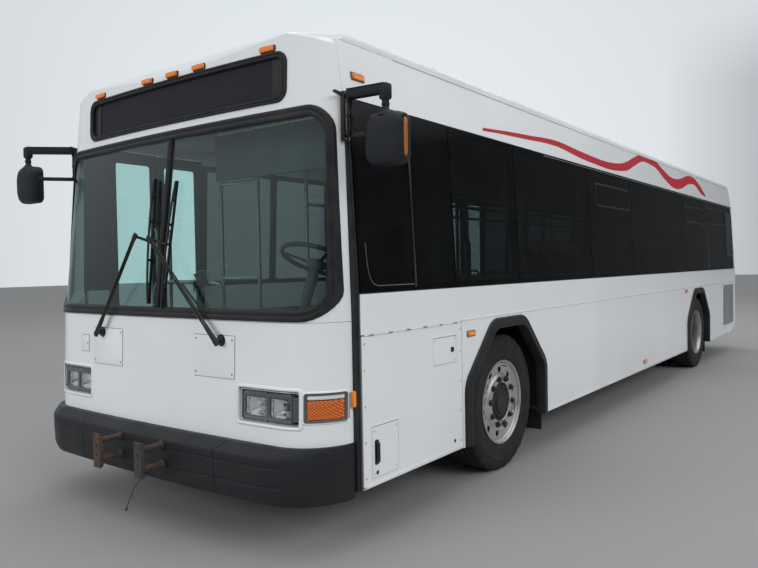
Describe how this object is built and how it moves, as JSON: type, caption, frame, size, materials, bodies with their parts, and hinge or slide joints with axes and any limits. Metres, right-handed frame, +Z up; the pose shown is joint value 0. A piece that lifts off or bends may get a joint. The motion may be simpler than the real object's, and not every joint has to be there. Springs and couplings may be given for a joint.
{
  "type": "city bus",
  "caption": "Low-floor city bus with hollow saloon, hinged doors, flaps and roof hatches, steered front wheels and twin rear wheels.",
  "frame": {"origin": "on the ground under the middle of the bus's overall box", "axes": "+X towards the front, +Y towards the driver's side, +Z up"},
  "size_m": [10.917, 3.25, 2.9019],
  "materials": {
    "underframe": "dark chassis paint, dusty",
    "white_paint": "gloss white paint, lightly soiled",
    "window_frame": "matte black",
    "tinted_glass": "dark tinted safety glass",
    "black_rubber": "black rubber, weathered",
    "clear_glass": "light green laminated glass",
    "sign_black": "black panel",
    "bumper_plastic": "charcoal moulded plastic",
    "wire_black": "black cable jacket",
    "rusty_steel": "rusted steel",
    "lamp_chrome": "plated reflector",
    "amber_lens": "amber lens",
    "red_lens": "red lens",
    "mirror_black": "black textured plastic",
    "engine_grey": "cast, oily",
    "seat_fabric": "dark woven cloth",
    "dash_plastic": "grained plastic",
    "rail_steel": "brushed stainless",
    "axle_iron": "dark cast iron",
    "door_frame": "black painted frame",
    "hatch_plastic": "off-white moulded lid",
    "wheel_aluminium": "polished forged disc",
    "tyre": "moulded rubber"
  },
  "bodies": {
    "body": {"underframe": "underframe", "side_panels": "white_paint", "upper_panels": "white_paint", "window_frame_left": "window_frame", "window_frame_right": "window_frame", "side_windows": "tinted_glass", "roof": "white_paint", "front_cap_lower": "white_paint", "front_cap_upper": "white_paint", "windshield_seal": "black_rubber", "windshield": "clear_glass", "destination_sign": "sign_black", "rear_cap": "white_paint", "rear_bumper": "bumper_plastic", "front_bumper": "bumper_plastic", "hanging_wire": "wire_black", "wire_connector": "wire_black", "rack_brackets": "rusty_steel", "headlights": "lamp_chrome", "amber_lamps": "amber_lens", "tail_lamps": "red_lens", "mirrors": "mirror_black", "wipers": "mirror_black", "arch_trims": "black_rubber", "wheel_housings": "underframe", "engine_block": "engine_grey", "driver_seat": "seat_fabric", "passenger_seats": "seat_fabric", "dashboard": "dash_plastic", "stanchions": "rail_steel", "axles": "axle_iron"},
    "steer_left": {"knuckle_left": "axle_iron"},
    "steer_right": {"knuckle_right": "axle_iron"},
    "steering_wheel": {"steering_wheel": "mirror_black"},
    "front_left_wheel": {"front_left_rim": "wheel_aluminium", "front_left_tyre": "tyre"},
    "front_right_wheel": {"front_right_rim": "wheel_aluminium", "front_right_tyre": "tyre"},
    "rear_left_wheels": {"rear_left_rims": "wheel_aluminium", "rear_left_tyres": "tyre"},
    "rear_right_wheels": {"rear_right_rims": "wheel_aluminium", "rear_right_tyres": "tyre"},
    "service_door": {"service_door": "white_paint"},
    "battery_flap": {"battery_flap": "white_paint"},
    "fuse_flap": {"fuse_flap": "white_paint"},
    "front_door_fore": {"front_door_fore_leaf": "door_frame"},
    "front_door_aft": {"front_door_aft_leaf": "door_frame"},
    "rear_door_fore": {"rear_door_fore_leaf": "door_frame"},
    "rear_door_aft": {"rear_door_aft_leaf": "door_frame"},
    "engine_door": {"engine_door": "white_paint"},
    "roof_hatch_front": {"roof_hatch_front": "hatch_plastic"},
    "roof_hatch_rear": {"roof_hatch_rear": "hatch_plastic"}
  },
  "joints": [
    {"name": "steer_left", "type": "hinge", "parent": "body", "child": "steer_left", "pos_m": [3.16, 0.93, 0.485], "axis": [0, 0, 1], "range_deg": [-38, 38]},
    {"name": "steer_right", "type": "hinge", "parent": "body", "child": "steer_right", "pos_m": [3.16, -0.93, 0.485], "axis": [0, 0, 1], "range_deg": [-38, 38]},
    {"name": "steering_wheel_turn", "type": "hinge", "parent": "body", "child": "steering_wheel", "pos_m": [4.45, 0.64, 1.52], "axis": [-0.42, 0, 0.9075], "range_deg": [-684, 684]},
    {"name": "front_left_wheel_spin", "type": "hinge", "parent": "steer_left", "child": "front_left_wheel", "pos_m": [3.16, 1.112, 0.485], "axis": [0, 1, 0], "continuous": true},
    {"name": "front_right_wheel_spin", "type": "hinge", "parent": "steer_right", "child": "front_right_wheel", "pos_m": [3.16, -1.112, 0.485], "axis": [0, 1, 0], "continuous": true},
    {"name": "rear_left_wheels_spin", "type": "hinge", "parent": "body", "child": "rear_left_wheels", "pos_m": [-2.7, 0.96, 0.485], "axis": [0, 1, 0], "continuous": true},
    {"name": "rear_right_wheels_spin", "type": "hinge", "parent": "body", "child": "rear_right_wheels", "pos_m": [-2.7, -0.96, 0.485], "axis": [0, 1, 0], "continuous": true},
    {"name": "service_door_hinge", "type": "hinge", "parent": "body", "child": "service_door", "pos_m": [4.33, 1.297, 1.1125], "axis": [1, 0, 0], "range_deg": [0, 90]},
    {"name": "battery_flap_hinge", "type": "hinge", "parent": "service_door", "child": "battery_flap", "pos_m": [4.5398, 1.296, 0.484], "axis": [0, 0, 1], "range_deg": [0, 110]},
    {"name": "fuse_flap_hinge", "type": "hinge", "parent": "service_door", "child": "fuse_flap", "pos_m": [4.1662, 1.296, 0.95], "axis": [0, 0, -1], "range_deg": [0, 110]},
    {"name": "front_door_fore_hinge", "type": "hinge", "parent": "body", "child": "front_door_fore", "pos_m": [4.6805, -1.2515, 1.36], "axis": [0, 0, 1], "range_deg": [0, 88]},
    {"name": "front_door_aft_hinge", "type": "hinge", "parent": "body", "child": "front_door_aft", "pos_m": [3.8195, -1.2515, 1.36], "axis": [0, 0, -1], "range_deg": [0, 88]},
    {"name": "rear_door_fore_hinge", "type": "hinge", "parent": "body", "child": "rear_door_fore", "pos_m": [-0.0695, -1.2515, 1.36], "axis": [0, 0, 1], "range_deg": [0, 88]},
    {"name": "rear_door_aft_hinge", "type": "hinge", "parent": "body", "child": "rear_door_aft", "pos_m": [-1.1705, -1.2515, 1.36], "axis": [0, 0, -1], "range_deg": [0, 88]},
    {"name": "engine_door_hinge", "type": "hinge", "parent": "body", "child": "engine_door", "pos_m": [-5.347, 0, 1.4815], "axis": [0, 1, 0], "range_deg": [0, 85]},
    {"name": "roof_hatch_front_hinge", "type": "hinge", "parent": "body", "child": "roof_hatch_front", "pos_m": [1.986, 0, 2.895], "axis": [0, 1, 0], "range_deg": [0, 60]},
    {"name": "roof_hatch_rear_hinge", "type": "hinge", "parent": "body", "child": "roof_hatch_rear", "pos_m": [-2.714, 0, 2.895], "axis": [0, 1, 0], "range_deg": [0, 60]}
  ],
  "couplings": [
    {"joint": "steer_right", "follows": "steer_left", "ratio": 1},
    {"joint": "steering_wheel_turn", "follows": "steer_left", "ratio": 18},
    {"joint": "front_door_aft_hinge", "follows": "front_door_fore_hinge", "ratio": 1},
    {"joint": "rear_door_aft_hinge", "follows": "rear_door_fore_hinge", "ratio": 1}
  ]
}
